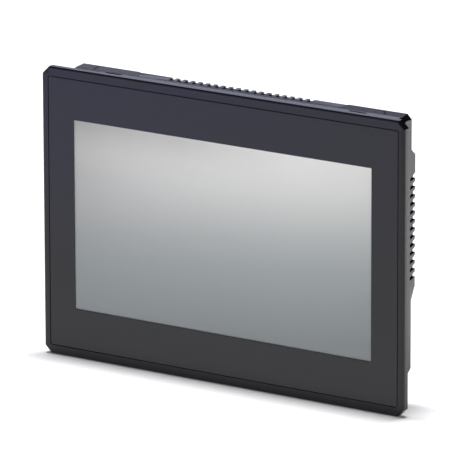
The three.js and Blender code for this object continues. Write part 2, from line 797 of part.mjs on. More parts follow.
function serialShell() {
  const flange = block([serialX - 15.4, serialX + 15.4], [14.7, 26.9], [stepZ - 0.9, stepZ - 0.1]);
  const tube = barAlongZ(dOutline(0), [stepZ - 6.2, stepZ - 0.5]);
  const hollow = barAlongZ(dOutline(0.5), [stepZ - 6.2 - over, stepZ + over]);
  const holes = [-postX, postX].map((x) => stake(1.8, [stepZ - 3, stepZ + 3], serialX + x, serialDepth, 12));
  return cut(join(flange, tube), hollow, ...holes);
}

function serialInsert() {
  const body = barAlongZ(dOutline(0.8), [stepZ - 5.8, stepZ + 9]);
  const holes = [];
  for (const [count, depth] of [[5, serialDepth + 1.42], [4, serialDepth - 1.42]]) {
    for (const x of evenly(count, 2.77)) {
      holes.push(stake(0.6, [stepZ - 5.8 - over, stepZ - 0.5], serialX + x, depth, 8));
    }
  }
  return cut(body, ...holes);
}

// A hexagonal jack post with its threaded hole and stud.
function jackPost(x) {
  const hex = stake(2.7, [stepZ - 6.2, stepZ - 1], x, serialDepth, 6);
  const stud = stake(1.4, [stepZ - 1.5, stepZ + 6], x, serialDepth, 12);
  const hole = stake(1.2, [stepZ - 6.2 - over, stepZ - 1.6], x, serialDepth, 12);
  return cut(join(hex, stud), hole);
}

const power = { pitch: 5.08, half: 8.4, height: 9, length: 12, lining: 0.8 };
const powerMiddle = connectorDepth + power.height / 2;

function powerHeader() {
  const { half, height, length, lining, pitch } = power;
  const cup = cut(
    connectorBody(powerX, half, height, length),
    block(
      [powerX - half + lining, powerX + half - lining],
      [connectorDepth + lining, connectorDepth + height - lining],
      [mouthZ - over, mouthZ + 9.4],
    ),
  );
  const pins = evenly(3, pitch).map((x) => block(
    [powerX + x - 0.5, powerX + x + 0.5],
    [powerMiddle - 0.5, powerMiddle + 0.5],
    [mouthZ + 2.4, mouthZ + 10],
  ));
  return join(cup, ...pins);
}

const plug = { half: 8.1, depth: [14.4, 28.4], z: [-88, -76.6], tongue: 8.2 };
const plugScrewDepth = [24.3, 27.6];
const plugScrewZ = -80.6;

function powerPlug() {
  const { half, depth, z, tongue } = plug;
  const { pitch, height, lining } = power;
  const inset = lining + gap;
  const body = block([powerX - half, powerX + half], depth, z);
  const nose = block(
    [powerX - power.half + inset, powerX + power.half - inset],
    [connectorDepth + inset, connectorDepth + height - inset],
    [z[1] - over, z[1] + tongue],
  );
  const cuts = [];
  for (const x of evenly(3, pitch)) {
    const middle = powerX + x;
    cuts.push(block([middle - 0.9, middle + 0.9], [powerMiddle - 0.9, powerMiddle + 0.9], [z[1], -60]));
    cuts.push(block([middle - 1.8, middle + 1.8], [17.4, 21.4], [z[0] - over, z[0] + 8]));
    cuts.push(bar(2.2, [21, depth[1] + over], middle, plugScrewZ, 20));
  }
  return cut(join(body, nose), ...cuts);
}

function terminalScrew(x) {
  const body = bar(1.85, plugScrewDepth, x, plugScrewZ, 20);
  const slot = block([x - 3, x + 3], [plugScrewDepth[1] - 1, 40], [plugScrewZ - 0.35, plugScrewZ + 0.35]);
  return cut(body, slot);
}

const dip = { half: 6, height: 6.4, length: 8, pitch: 2.54, window: [1.5, 4.9], sink: 1.8 };
const dipTravel = 1.6;

function dipSwitch() {
  const { half, height, length, pitch, window, sink } = dip;
  const windows = evenly(4, pitch).map((x) => block(
    [dipX + x - 0.9, dipX + x + 0.9],
    [connectorDepth + window[0], connectorDepth + window[1]],
    [mouthZ - over, mouthZ + sink],
  ));
  return cut(connectorBody(dipX, half, height, length), ...windows);
}

function dipSlider(x) {
  const low = connectorDepth + dip.window[0] + 0.2;
  return block([x - 0.7, x + 0.7], [low, low + 1.4], [mouthZ - 0.8, mouthZ + dip.sink - 0.2]);
}

add('ethernet_jack', ethernetJack(), finishes.nickel);
add('usb_shell', usbShell(), finishes.nickel);
add('usb_tongue', usbTongue(), finishes.blackPlastic);
add('serial_shell', serialShell(), finishes.nickel);
add('serial_insert', serialInsert(), finishes.blackPlastic);
add('jack_post_1', jackPost(serialX - postX), finishes.screwSteel);
add('jack_post_2', jackPost(serialX + postX), finishes.screwSteel);
add('power_header', powerHeader(), finishes.greenPlastic);
add('power_plug', powerPlug(), finishes.greenPlastic);
evenly(3, power.pitch).forEach((x, index) => {
  add(`terminal_screw_${index + 1}`, terminalScrew(powerX + x), finishes.screwSteel);
});
add('dip_switch', dipSwitch(), finishes.bluePlastic);
evenly(4, dip.pitch).forEach((x, index) => {
  add(`dip_slider_${index + 1}`, dipSlider(dipX + x), finishes.whitePlastic);
});

// Reset button, its switch, the earth screw and the blank rating label
function resetButton() {
  const profile = [[0, 18.4], [1.2, 18.4], [1.2, 23.6], [3.1, 23.6], [3.1, 24.4], [2, 24.4], [2, 26.2],
    [1.7, 26.5], [0, 26.5]];
  const body = new THREE.LatheGeometry(profile.map(([r, depth]) => new THREE.Vector2(r, at(depth))), 20);
  return body.translate(resetX, 0, resetZ);
}

function earthScrew() {
  const body = screw({ radius: 3.4, height: 2.2 }, { radius: 1.9, length: 6 }).rotateX(-Math.PI / 2);
  return body.translate(groundX, at(20.5), stepZ - 0.3 - 2.2);
}

add('reset_switch', chip(resetX, resetZ, 6, 6, 2.3), finishes.blackPlastic);
add('reset_button', resetButton(), finishes.redPlastic);
add('earth_screw', earthScrew(), finishes.screwSteel);
const labelDepth = [plateauDepth + 0.02, plateauDepth + 0.22];
add('rating_label', block([-38, 38], labelDepth, [-52, -8]), finishes.label);

export default model;
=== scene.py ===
import json
import math

import bmesh
import bpy
from mathutils import Matrix, Vector


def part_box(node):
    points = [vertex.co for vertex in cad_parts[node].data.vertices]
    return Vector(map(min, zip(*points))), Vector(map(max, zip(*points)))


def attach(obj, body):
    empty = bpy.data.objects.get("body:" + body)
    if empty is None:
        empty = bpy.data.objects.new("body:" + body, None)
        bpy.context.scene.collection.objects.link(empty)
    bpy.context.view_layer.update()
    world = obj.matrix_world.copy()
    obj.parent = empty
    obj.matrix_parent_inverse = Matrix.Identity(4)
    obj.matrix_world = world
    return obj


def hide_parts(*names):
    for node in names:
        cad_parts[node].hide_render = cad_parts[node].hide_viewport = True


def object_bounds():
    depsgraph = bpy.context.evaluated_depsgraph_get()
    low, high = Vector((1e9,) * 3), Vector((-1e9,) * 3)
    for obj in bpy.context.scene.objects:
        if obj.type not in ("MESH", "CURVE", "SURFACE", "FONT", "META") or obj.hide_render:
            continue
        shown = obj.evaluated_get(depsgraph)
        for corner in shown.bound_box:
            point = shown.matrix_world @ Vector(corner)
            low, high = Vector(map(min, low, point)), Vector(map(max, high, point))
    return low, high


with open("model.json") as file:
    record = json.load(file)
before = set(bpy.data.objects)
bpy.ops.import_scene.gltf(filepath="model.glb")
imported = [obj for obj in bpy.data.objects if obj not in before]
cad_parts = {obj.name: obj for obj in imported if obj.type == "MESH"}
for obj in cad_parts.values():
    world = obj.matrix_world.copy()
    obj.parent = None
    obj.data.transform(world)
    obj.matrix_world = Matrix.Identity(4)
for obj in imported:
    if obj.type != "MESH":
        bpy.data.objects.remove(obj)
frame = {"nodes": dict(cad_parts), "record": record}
cadLow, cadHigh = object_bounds()
scene = bpy.context.scene
scene.view_settings.view_transform = "Standard"
print("frame loaded:", len(frame["nodes"]), "nodes")

# the camera stands to the right of the panel and above it: angles in degrees, lengths in metres,
# lens and sensor in millimetres
cameraSettings = {
    "azimuth": 32.78,
    "elevation": 15.56,
    "roll": -0.16,
    "distance": 4.102,
    "lens": 510.9,
    "sensor": 36,
    "aimRight": 0.00527,
    "aimUp": 0.00686,
    "clip": (0.1, 60),
}


def makeCamera(settings):
    azimuth = math.radians(settings["azimuth"])
    elevation = math.radians(settings["elevation"])
    roll = math.radians(settings["roll"])
    back = Vector((math.sin(azimuth) * math.cos(elevation),
                   -math.cos(azimuth) * math.cos(elevation),
                   math.sin(elevation)))
    level = Vector((math.cos(azimuth), math.sin(azimuth), 0))
    upright = back.cross(level)
    right = level * math.cos(roll) + upright * math.sin(roll)
    up = upright * math.cos(roll) - level * math.sin(roll)
    front = Vector((0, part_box("front_bezel")[0].y, 0))
    aim = front + right * settings["aimRight"] + up * settings["aimUp"]
    data = bpy.data.cameras.new("camera")
    data.lens = settings["lens"]
    data.sensor_width = settings["sensor"]
    data.clip_start, data.clip_end = settings["clip"]
    camera = bpy.data.objects.new("camera", data)
    scene.collection.objects.link(camera)
    camera.rotation_mode = "QUATERNION"
    camera.rotation_quaternion = Matrix((right, up, back)).transposed().to_quaternion()
    camera.location = aim + back * settings["distance"]
    scene.camera = camera


makeCamera(cameraSettings)
print("camera placed")


def newMaterial(name, color, roughness, metallic=0.0, specular=0.5, coat=0.0, coatRoughness=0.1):
    material = bpy.data.materials.new(name)
    material.use_nodes = True
    shader = material.node_tree.nodes["Principled BSDF"]
    shader.inputs["Base Color"].default_value = (*color, 1)
    shader.inputs["Roughness"].default_value = roughness
    shader.inputs["Metallic"].default_value = metallic
    shader.inputs["Specular IOR Level"].default_value = specular
    shader.inputs["Coat Weight"].default_value = coat
    shader.inputs["Coat Roughness"].default_value = coatRoughness
    return material, shader


def objectNoise(material, scale, detail, stretch=(1, 1, 1)):
    nodes = material.node_tree.nodes
    links = material.node_tree.links
    place = nodes.new("ShaderNodeTexCoord")
    mapping = nodes.new("ShaderNodeMapping")
    mapping.inputs["Scale"].default_value = stretch
    noise = nodes.new("ShaderNodeTexNoise")
    noise.inputs["Scale"].default_value = scale
    noise.inputs["Detail"].default_value = detail
    links.new(place.outputs["Object"], mapping.inputs["Vector"])
    links.new(mapping.outputs["Vector"], noise.inputs["Vector"])
    return noise.outputs["Fac"]


def tint(material, shader, fac, dark, light, low=0.3, high=0.7):
    ramp = material.node_tree.nodes.new("ShaderNodeValToRGB")
    ramp.color_ramp.elements[0].position = low
    ramp.color_ramp.elements[1].position = high
    ramp.color_ramp.elements[0].color = (*dark, 1)
    ramp.color_ramp.elements[1].color = (*light, 1)
    material.node_tree.links.new(fac, ramp.inputs["Fac"])
    material.node_tree.links.new(ramp.outputs["Color"], shader.inputs["Base Color"])


def varyRoughness(material, shader, fac, low, high):
    spread = material.node_tree.nodes.new("ShaderNodeMapRange")
    spread.inputs["To Min"].default_value = low
    spread.inputs["To Max"].default_value = high
    material.node_tree.links.new(fac, spread.inputs["Value"])
    material.node_tree.links.new(spread.outputs["Result"], shader.inputs["Roughness"])


def addBump(material, shader, fac, strength, distance):
    bump = material.node_tree.nodes.new("ShaderNodeBump")
    bump.inputs["Strength"].default_value = strength
    bump.inputs["Distance"].default_value = distance
    material.node_tree.links.new(fac, bump.inputs["Height"])
    material.node_tree.links.new(bump.outputs["Normal"], shader.inputs["Normal"])


def scaled(color, factor):
    return tuple(min(1.0, channel * factor) for channel in color)


# the owner of the next three is a material or the world
def mathNode(owner, operation, first, second):
    node = owner.node_tree.nodes.new("ShaderNodeMath")
    node.operation = operation
    for place, value in enumerate((first, second)):
        if isinstance(value, (int, float)):
            node.inputs[place].default_value = value
        else:
            owner.node_tree.links.new(value, node.inputs[place])
    return node.outputs["Value"]


def rampNode(owner, fac, stops):
    ramp = owner.node_tree.nodes.new("ShaderNodeValToRGB")
    elements = ramp.color_ramp.elements
    while len(elements) < len(stops):
        elements.new(0.5)
    for element, (place, tone) in zip(elements, stops):
        element.position = place
        element.color = (*tone, 1) if isinstance(tone, tuple) else (tone, tone, tone, 1)
    owner.node_tree.links.new(fac, ramp.inputs["Fac"])
    return ramp.outputs["Color"]


def multiplied(owner, base, over, factor):
    blend = owner.node_tree.nodes.new("ShaderNodeMix")
    blend.data_type = "RGBA"
    blend.blend_type = "MULTIPLY"
    links = owner.node_tree.links
    if isinstance(factor, float):
        blend.inputs["Factor"].default_value = factor
    else:
        links.new(factor, blend.inputs["Factor"])
    links.new(base, blend.inputs["A"])
    links.new(over, blend.inputs["B"])
    return blend.outputs["Result"]


# a plastic, film or metal has slow clouds of tone and a fine grain: cloud, grain, lines and cells count
# the patches in a metre, dark and light multiply the colour, rough is added to the roughness,
# and depth is the bump's, in metres
grainSettings = {
    "textured": {"cloud": 14, "detail": 4, "dark": 0.9, "light": 1.1, "rough": (-0.06, 0.06),
                 "depth": 0.0002},
    "smooth": {"cloud": 60, "detail": 3, "dark": 0.96, "light": 1.03, "rough": (-0.04, 0.06),
               "grain": 1800, "bump": 0.04, "depth": 0.0001},
    "brushed": {"lines": 900, "dark": 0.86, "light": 1.08, "rough": (-0.08, 0.1), "bump": 0.08,
                "depth": 0.0001},
    "plated": {"cloud": 320, "detail": 4, "dark": 0.88, "light": 1.05, "rough": (-0.05, 0.12),
               "grain": 2600, "bump": 0.05, "depth": 0.00005},
    "foam": {"cells": 1800, "dark": 0.6, "light": 1.4, "edge": 0.6, "roughness": 0.9, "specular": 0.25,
             "bump": 0.5, "depth": 0.0003},
    "fineDetail": 2,
}


def grainTint(material, shader, fac, color, grain):
    tint(material, shader, fac, scaled(color, grain["dark"]), scaled(color, grain["light"]))


def grainRoughness(material, shader, fac, roughness, grain):
    low, high = grain["rough"]
    varyRoughness(material, shader, fac, roughness + low, roughness + high)


def texturedPlastic(name, color, roughness, grainScale, bump, specular=0.5):
    grain = grainSettings["textured"]
    material, shader = newMaterial(name, color, roughness, specular=specular)
    grainTint(material, shader, objectNoise(material, grain["cloud"], grain["detail"]), color, grain)
    fine = objectNoise(material, grainScale, grainSettings["fineDetail"])
    grainRoughness(material, shader, fine, roughness, grain)
    addBump(material, shader, fine, bump, grain["depth"])
    return material


def smoothPlastic(name, color, roughness, coat=0.0):
    grain = grainSettings["smooth"]
    material, shader = newMaterial(name, color, roughness, coat=coat)
    grainTint(material, shader, objectNoise(material, grain["cloud"], grain["detail"]), color, grain)
    fine = objectNoise(material, grain["grain"], grainSettings["fineDetail"])
    grainRoughness(material, shader, fine, roughness, grain)
    addBump(material, shader, fine, grain["bump"], grain["depth"])
    return material


def brushedMetal(name, color, roughness, stretch):
    grain = grainSettings["brushed"]
    material, shader = newMaterial(name, color, roughness, metallic=1.0)
    lines = objectNoise(material, grain["lines"], grainSettings["fineDetail"], stretch)
    grainTint(material, shader, lines, color, grain)
    grainRoughness(material, shader, lines, roughness, grain)
    addBump(material, shader, lines, grain["bump"], grain["depth"])
    return material


def platedMetal(name, color, roughness):
    grain = grainSettings["plated"]
    material, shader = newMaterial(name, color, roughness, metallic=1.0)
    cloud = objectNoise(material, grain["cloud"], grain["detail"])
    grainTint(material, shader, cloud, color, grain)
    grainRoughness(material, shader, cloud, roughness, grain)
    fine = objectNoise(material, grain["grain"], grainSettings["fineDetail"])
    addBump(material, shader, fine, grain["bump"], grain["depth"])
    return material


def foamMaterial(name, color):
    grain = grainSettings["foam"]
    material, shader = newMaterial(name, color, grain["roughness"], specular=grain["specular"])
    cells = material.node_tree.nodes.new("ShaderNodeTexVoronoi")
    cells.inputs["Scale"].default_value = grain["cells"]
    place = material.node_tree.nodes.new("ShaderNodeTexCoord")
    material.node_tree.links.new(place.outputs["Object"], cells.inputs["Vector"])
    depth = cells.outputs["Distance"]
    tint(material, shader, depth, scaled(color, grain["dark"]), scaled(color, grain["light"]),
         0.0, grain["edge"])
    addBump(material, shader, depth, grain["bump"], grain["depth"])
    return material


# the touch sensor's base colour is a painted reflection of the floor and lights: pale at the top and grey
# below, in bands that lean, and darker towards its left side and along the left half of its top edge
screenPaintedReflection = {
    "color": (0.5, 0.5, 0.5),
    "roughness": 0.4,
    "roughnessRange": (0.36, 0.42),
    "specular": 0.3,
    "cloud": 9,
    "lean": 0.11,  # rise of the bands to the right, metres in a metre
    "span": 0.13,  # height that the bands cover
    "width": 0.22,  # width and height that the other patterns cover
    "height": 0.13,
    # painted reflection tones, from the bottom up
    "paintedReflectionTones": [(0.0, (0.24, 0.26, 0.262)), (0.11, (0.275, 0.297, 0.298)), (0.24, (0.318, 0.342, 0.34)),
              (0.37, (0.372, 0.398, 0.392)), (0.5, (0.465, 0.487, 0.477)), (0.63, (0.6, 0.612, 0.585)),
              (0.76, (0.74, 0.743, 0.705)), (0.89, (0.865, 0.857, 0.81)), (1.0, (0.94, 0.925, 0.87))],
    # painted shade on the reflection from left to right, and how strongly that acts from the bottom up
    "sides": [(0.0, 0.66), (0.13, 0.78), (0.26, 0.88), (0.4, 0.95), (0.53, 1.0), (0.8, 1.04), (1.0, 1.05)],
    "reach": [(0.0, 0.0), (0.35, 0.35), (0.8, 1.0)],
    # painted shade on the reflection at the very top, and how strongly that acts from left to right
    "crown": [(0.77, 1.0), (0.85, 0.94), (0.915, 0.83), (0.96, 0.745)],
    "crownReach": [(0.0, 1.0), (0.36, 1.0), (0.4545, 0.75), (0.545, 0.59), (0.636, 0.39), (0.727, 0.2),
                   (1.0, 0.15)],
    # a slight painted lift of the reflection towards the right, all the way up
    "edge": [(0.0, 1.0), (0.5, 1.02), (0.73, 1.04), (0.82, 1.035), (0.91, 1.02), (0.98, 1.0)],
}


# the touch sensor's material, whose base colour carries a painted reflection built from the ramps below
def touchGlassPaintedReflection(settings):
    material, shader = newMaterial("touchSensorPaintedReflection", settings["color"], settings["roughness"],
                                   specular=settings["specular"])
    nodes = material.node_tree.nodes
    links = material.node_tree.links
    place = nodes.new("ShaderNodeTexCoord")
    split = nodes.new("ShaderNodeSeparateXYZ")
    links.new(place.outputs["Object"], split.inputs["Vector"])

    def share(length, whole):  # 0 to 1 over the whole, which is centred on the panel
        return mathNode(material, "ADD", mathNode(material, "MULTIPLY", length, 1 / whole), 0.5)

    lean = mathNode(material, "MULTIPLY", split.outputs["X"], -settings["lean"])
    height = share(mathNode(material, "ADD", split.outputs["Z"], lean), settings["span"])
    across = share(split.outputs["X"], settings["width"])
    rise = share(split.outputs["Z"], settings["height"])
    paintedReflection = rampNode(material, height, settings["paintedReflectionTones"])
    paintedReflection = multiplied(material, paintedReflection, rampNode(material, across, settings["sides"]),
                        rampNode(material, height, settings["reach"]))
    paintedReflection = multiplied(material, paintedReflection, rampNode(material, rise, settings["crown"]),
                        rampNode(material, across, settings["crownReach"]))
    paintedReflection = multiplied(material, paintedReflection, rampNode(material, across, settings["edge"]), 1.0)
    # the painted reflection goes into the base colour
    links.new(paintedReflection, shader.inputs["Base Color"])
    cloud = objectNoise(material, settings["cloud"], grainSettings["fineDetail"])
    varyRoughness(material, shader, cloud, *settings["roughnessRange"])
    return material


# solder mask over tracks, which show as a faint pattern of lighter gaps
boardSettings = {
    "color": (0.008, 0.07, 0.025),
    "roughness": 0.35,
    "coat": 0.3,
    "tracks": 160,
    "dark": 0.8,
    "light": 1.3,
    "gaps": 2.0,
    "bump": 0.1,
    "depth": 0.0001,
}


def boardMaterial(settings):
    color = settings["color"]
    material, shader = newMaterial("solderMask", color, settings["roughness"], coat=settings["coat"])
    tracks = material.node_tree.nodes.new("ShaderNodeTexBrick")
    tracks.inputs["Scale"].default_value = settings["tracks"]
    tracks.inputs["Color1"].default_value = (*scaled(color, settings["dark"]), 1)
    tracks.inputs["Color2"].default_value = (*scaled(color, settings["light"]), 1)
    tracks.inputs["Mortar"].default_value = (*scaled(color, settings["gaps"]), 1)
    place = material.node_tree.nodes.new("ShaderNodeTexCoord")
    turn = material.node_tree.nodes.new("ShaderNodeMapping")
    turn.inputs["Rotation"].default_value = (math.pi / 2, 0, 0)  # lays the pattern in the board's plane
    links = material.node_tree.links
    links.new(place.outputs["Object"], turn.inputs["Vector"])
    links.new(turn.outputs["Vector"], tracks.inputs["Vector"])
    links.new(tracks.outputs["Color"], shader.inputs["Base Color"])
    addBump(material, shader, tracks.outputs["Fac"], settings["bump"], settings["depth"])
    return material


# one finish for each material slot: colour and roughness come first, then the grain's scale, bump and
# specular level for a textured plastic, the coat for a smooth one, and the stretch for a brushed metal
finishes = {
    "bezel": texturedPlastic("bezelPlastic", (0.0025, 0.0025, 0.004), 0.22, 2600, 0.07, 0.37),
    "overlay": texturedPlastic("overlayFilm", (0.0025, 0.0025, 0.0055), 0.3, 4200, 0.06, 0.43),
    "housing": texturedPlastic("housingPlastic", (0.0028, 0.0028, 0.0042), 0.25, 2000, 0.09),
    # the touch sensor's base colour carries a painted reflection
    "touch_glass": touchGlassPaintedReflection(screenPaintedReflection),
    "adhesive": foamMaterial("adhesiveFoam", (0.012, 0.012, 0.012)),
    "foam": foamMaterial("gasketFoam", (0.016, 0.016, 0.017)),
    "sheet_steel": brushedMetal("sheetSteel", (0.5, 0.51, 0.52), 0.32, (0.05, 1, 1)),
    "display_glass": smoothPlastic("displayCell", (0.02, 0.022, 0.026), 0.08, 0.5),
    "white_film": smoothPlastic("diffuserFilm", (0.82, 0.83, 0.84), 0.5),
    "clear_acrylic": smoothPlastic("lightGuideAcrylic", (0.66, 0.72, 0.74), 0.08, 0.4),
    "flex_film": smoothPlastic("amberFilm", (0.36, 0.13, 0.02), 0.3, 0.4),
    "screw_steel": platedMetal("zincPlatedSteel", (0.56, 0.57, 0.58), 0.28),
    "circuit_board": boardMaterial(boardSettings),
    "chip": smoothPlastic("mouldingCompound", (0.014, 0.014, 0.015), 0.5),
    "heat_sink": brushedMetal("anodisedAluminium", (0.42, 0.44, 0.46), 0.36, (1, 1, 0.05)),
    "ferrite": texturedPlastic("ferriteBody", (0.04, 0.04, 0.042), 0.65, 1500, 0.4),
    "can_steel": brushedMetal("drawnCan", (0.6, 0.61, 0.62), 0.24, (1, 0.05, 1)),
    "nickel_shell": platedMetal("nickelPlate", (0.6, 0.59, 0.57), 0.22),
    "black_plastic": smoothPlastic("blackMoulding", (0.014, 0.014, 0.015), 0.45),
    "green_plastic": smoothPlastic("greenMoulding", (0.02, 0.2, 0.07), 0.42),
    "blue_plastic": smoothPlastic("blueMoulding", (0.015, 0.08, 0.33), 0.4),
    "white_plastic": smoothPlastic("whiteMoulding", (0.78, 0.78, 0.74), 0.4),
    "red_plastic": smoothPlastic("redMoulding", (0.42, 0.025, 0.018), 0.35),
    "label": smoothPlastic("labelFilm", (0.42, 0.43, 0.44), 0.4),
}

slotOfNode = {row["node"]: row["material_slot"] for row in frame["record"]["subparts"]}
bodyOfNode = {}
for bodyName, members in frame["record"]["behaviour"]["bodies"].items():
    for member in members:
        bodyOfNode[member] = bodyName

for nodeName, node in frame["nodes"].items():
    node.data.materials.clear()
    node.data.materials.append(finishes[slotOfNode[nodeName]])
print("materials made")

# nodes shown as copies with rolled edges: width in metres, and the angle in degrees past which
# an edge is rolled
plainEdges = {"segments": 2, "angle": 30}
edgeSettings = {
    "front_bezel": {"width": 0.0004, "segments": 3, "angle": 22},
    "front_overlay": {"width": 0.00012, "angle": 40},
    "carrier_frame": {"width": 0.0002, "segments": 3},
    "rear_cover": {"width": 0.0002, "segments": 3, "angle": 28},
    "power_header": {"width": 0.00018},
    "power_plug": {"width": 0.0002},
    "ethernet_jack": {"width": 0.0002},
    "usb_shell": {"width": 0.00012},
    "usb_tongue": {"width": 0.00015},
    "serial_shell": {"width": 0.00015},
    "serial_insert": {"width": 0.0002},
    "dip_switch": {"width": 0.00015},
    "reset_switch": {"width": 0.00015},
    "reset_button": {"width": 0.00025, "segments": 3},
    "processor": {"width": 0.0002},
    "memory_chip": {"width": 0.00015},
    "heat_sink": {"width": 0.00015},
    "power_inductor": {"width": 0.0006, "segments": 3},
    "battery_holder": {"width": 0.0002},
    "coin_cell": {"width": 0.0002},
    "lcd_frame": {"width": 0.00015},
    "lcd_tray": {"width": 0.00015},
    "earth_screw": {"width": 0.0002},
}
# nodes numbered from 1, under how many there are of each
numberedEdges = {
    6: {"cover_screw": {"width": 0.00018}},
    4: {"dip_slider": {"width": 0.0001}},
    3: {"terminal_screw": {"width": 0.00012}},
    2: {"capacitor": {"width": 0.0003, "segments": 3}, "jack_post": {"width": 0.00015}},
}
for count, families in numberedEdges.items():
    for number in range(1, count + 1):
        for family, edges in families.items():
            edgeSettings[f"{family}_{number}"] = edges

# corners closer than the distance in metres are joined, and faces within the angle in degrees made one
mergeSettings = {"distance": 2e-6, "flatAngle": 1.5}


def workedCopy(nodeName, settings):
    slotName = slotOfNode[nodeName]
    rollAngle = math.radians(settings["angle"])
    mesh = frame["nodes"][nodeName].data.copy()
    work = bmesh.new()  # joins the loose triangles, so that only real edges are rolled
    work.from_mesh(mesh)
    bmesh.ops.remove_doubles(work, verts=work.verts, dist=mergeSettings["distance"])
    bmesh.ops.dissolve_limit(work, angle_limit=math.radians(mergeSettings["flatAngle"]),
                             verts=work.verts, edges=work.edges)
    work.to_mesh(mesh)
    work.free()
    mesh.materials.clear()
    mesh.materials.append(finishes[slotName])
    piece = bpy.data.objects.new(nodeName + "_worked", mesh)
    scene.collection.objects.link(piece)
    bevel = piece.modifiers.new("edges", "BEVEL")
    bevel.width = settings["width"]
    bevel.segments = settings["segments"]
    bevel.limit_method = "ANGLE"
    bevel.angle_limit = rollAngle
    bevel.harden_normals = True
    bevel.use_clamp_overlap = True
    mesh.shade_smooth()
    mesh.set_sharp_from_angle(angle=rollAngle)
    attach(piece, bodyOfNode[nodeName])
    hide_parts(nodeName)


for nodeName, settings in edgeSettings.items():
    workedCopy(nodeName, {**plainEdges, **settings})
print("worked copies made")

# finish of the added pieces, angles in degrees
finishSettings = {"bevelAngle": 30, "bevelSegments": 2, "smoothAngle": 32}


def finishPiece(work, name, slotName, bevelWidth):
    bmesh.ops.recalc_face_normals(work, faces=work.faces)
    if bevelWidth:
        bevelAngle = math.radians(finishSettings["bevelAngle"])
        sharp = [edge for edge in work.edges if edge.calc_face_angle(0) > bevelAngle]
        bmesh.ops.bevel(work, geom=sharp, offset=bevelWidth, offset_type="OFFSET",
                        segments=finishSettings["bevelSegments"], profile=0.5, affect="EDGES",
                        material=-1, clamp_overlap=True)
    mesh = bpy.data.meshes.new(name)
    work.to_mesh(mesh)
    work.free()
    mesh.materials.append(finishes[slotName])
    mesh.shade_smooth()
    mesh.set_sharp_from_angle(angle=math.radians(finishSettings["smoothAngle"]))
    piece = bpy.data.objects.new(name, mesh)
    scene.collection.objects.link(piece)
    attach(piece, "panel")


def extrudeOutline(work, outline, start, end):  # an outline in depth and height, drawn out across the panel
    corners = [work.verts.new((start, y, z)) for y, z in outline]
    made = bmesh.ops.extrude_face_region(work, geom=[work.faces.new(corners)])
    moved = [part for part in made["geom"] if isinstance(part, bmesh.types.BMVert)]
    bmesh.ops.translate(work, verts=moved, vec=(end - start, 0, 0))


# small chip resistors and capacitors on the board, on a wavy grid that keeps clear of the other parts
chipSettings = {
    "columns": 21,
    "rows": 15,
    "spanX": [-0.088, 0.088],
    "spanZ": [-0.05, 0.061],
    "wave": 0.0018,
    "waveStep": 2.1,  # radians from one column to the next
    "steps": (5, 7),  # count for each column and each row; a chip stands where their sum divides by "every"
    "every": 3,
    "body": (0.0022, 0.0007, 0.0013),  # length, height and width
    "end": 0.0004,
    "lip": 0.00004,
    "bevel": 0.00005,
    "clearance": 0.0022,
    "bossClearance": 0.0052,
    # nodes that take no room on the board
    "plain": ["front_bezel", "front_overlay", "touch_glass", "touch_adhesive", "display_gasket", "lcd_frame",
              "lcd_glass", "diffuser_sheet", "light_guide", "led_strip", "lcd_tray", "carrier_frame",
              "flange_gasket", "rear_cover", "main_board", "rating_label"],
}


def takenAreas(settings):
    areas = []
    for nodeName in frame["nodes"]:
        if nodeName not in settings["plain"]:
            low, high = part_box(nodeName)
            margin = settings["bossClearance"] if "_screw_" in nodeName else settings["clearance"]
            areas.append((low.x - margin, high.x + margin, low.z - margin, high.z + margin))
    return areas


def isFree(x, z, areas):
    return not any(left < x < right and low < z < high for left, right, low, high in areas)


def boxOutline(y, z, height, half):
    return [(y, z - half), (y + height, z - half), (y + height, z + half), (y, z + half)]


def boardChips(settings):
    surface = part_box("main_board")[1].y
    bodies = bmesh.new()
    ends = bmesh.new()
    length, height, width = settings["body"]
    lowX, highX = settings["spanX"]
    lowZ, highZ = settings["spanZ"]
    columnStep, rowStep = settings["steps"]
    end, lip = settings["end"], settings["lip"]
    areas = takenAreas(settings)
    for column in range(settings["columns"]):
        wave = settings["wave"] * math.sin(column * settings["waveStep"])
        for row in range(settings["rows"]):
            x = lowX + (highX - lowX) * column / (settings["columns"] - 1)
            z = lowZ + (highZ - lowZ) * row / (settings["rows"] - 1) + wave
            if (column * columnStep + row * rowStep) % settings["every"] or not isFree(x, z, areas):
                continue
            left, right = x - length / 2, x + length / 2
            extrudeOutline(bodies, boxOutline(surface + lip, z, height, width / 2), left + end, right - end)
            cap = boxOutline(surface, z, height + 2 * lip, width / 2 + lip)
            extrudeOutline(ends, cap, left, left + end)
            extrudeOutline(ends, cap, right - end, right)
    finishPiece(bodies, "boardChipBodies", "chip", settings["bevel"])
    finishPiece(ends, "boardChipEnds", "nickel_shell", settings["bevel"])


boardChips(chipSettings)
print("board chips made")

# contacts inside the sockets, which open downwards; a rise is measured up from their mouths
socketMouth = -0.0762

networkSettings = {
    "middle": -0.041,
    "count": 8,
    "pitch": 0.00102,
    "halfWidth": 0.00021,
    "halfThickness": 0.00015,
    "path": [(0.0118, 0.0012), (0.0119, 0.0024), (0.0146, 0.0104), (0.0149, 0.0124)],  # depth and rise
    "bevel": 0.00004,
}


def thickened(path, half):  # both sides of a strip that follows the path
    left, right = [], []
    for index, (y, z) in enumerate(path):
        before = path[max(index - 1, 0)]
        after = path[min(index + 1, len(path) - 1)]
        run = Vector((after[0] - before[0], after[1] - before[1])).normalized()
        left.append((y - run.y * half, z + run.x * half))
        right.append((y + run.y * half, z - run.x * half))
    return left + right[::-1]


